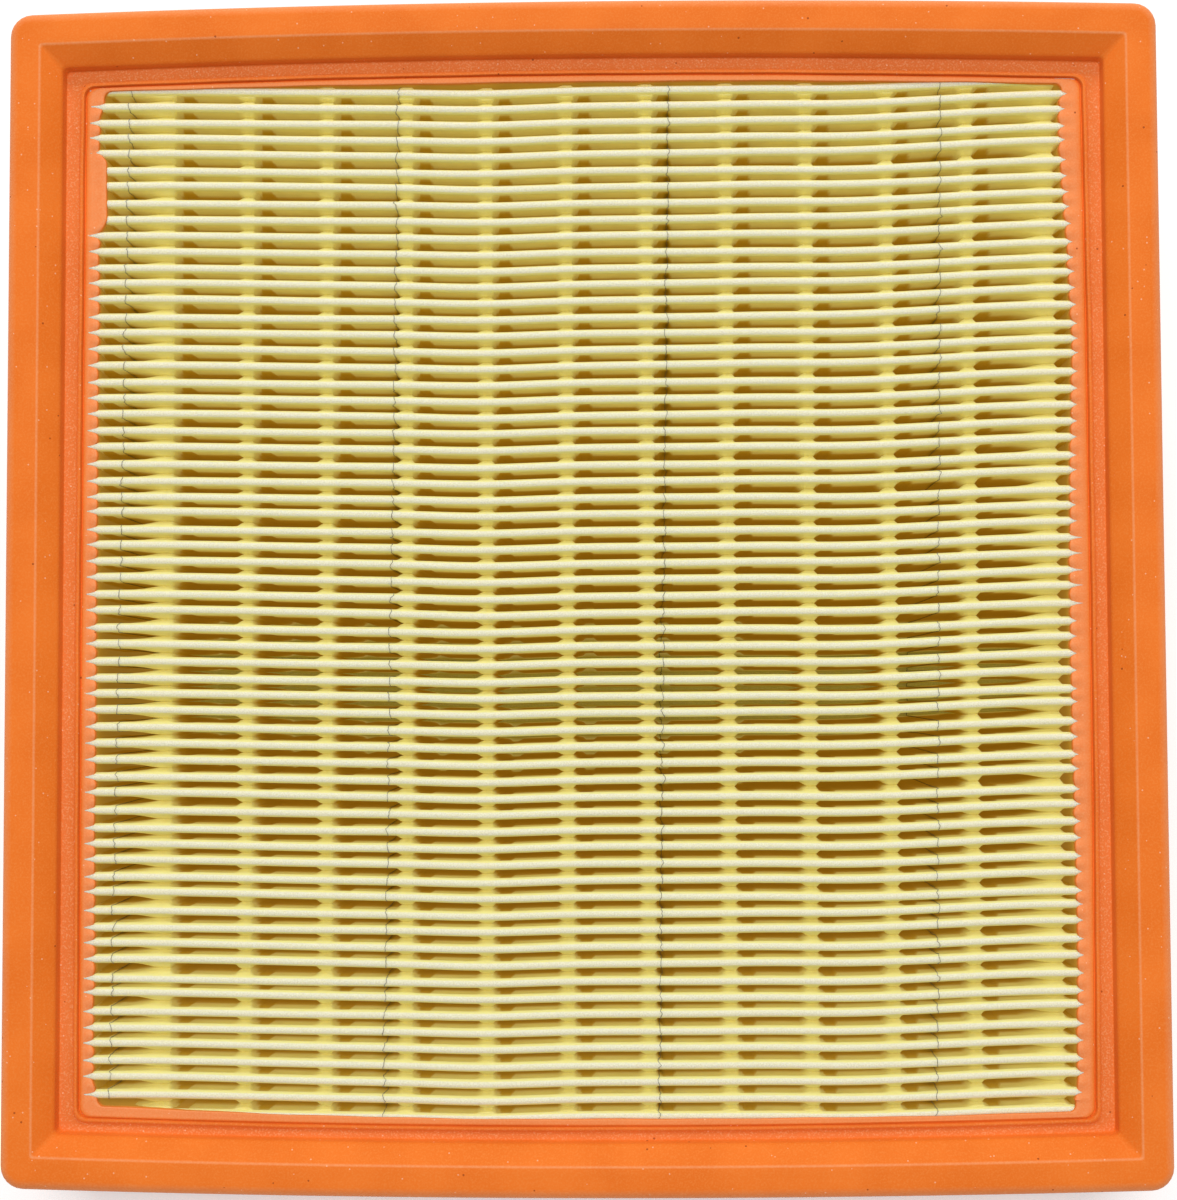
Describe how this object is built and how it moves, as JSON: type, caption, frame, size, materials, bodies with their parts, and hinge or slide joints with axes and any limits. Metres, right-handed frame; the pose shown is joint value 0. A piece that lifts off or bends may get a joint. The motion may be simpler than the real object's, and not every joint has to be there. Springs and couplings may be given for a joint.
{
  "type": "air filter",
  "caption": "Near-square panel air filter: a pleated paper pack potted in a soft moulded frame with a wide sealing flange, with spacing yarns glued across the pleats.",
  "frame": {"origin": "middle of the rim that the filter stands on, under the middle of the pleat pack", "axes": "+Z out of the sealing land, +X along the pleats, +Y across the pleats"},
  "size_m": [0.238, 0.246, 0.058],
  "materials": {
    "frame_foam": "matte",
    "filter_paper": "matte",
    "yarn": "matte"
  },
  "bodies": {
    "root": {"frame_moulding": "frame_foam", "pleated_paper": "filter_paper", "upper_yarn_1": "yarn", "upper_yarn_2": "yarn", "upper_yarn_3": "yarn", "upper_yarn_4": "yarn", "lower_yarn_1": "yarn", "lower_yarn_2": "yarn", "lower_yarn_3": "yarn", "lower_yarn_4": "yarn"}
  },
  "joints": []
}
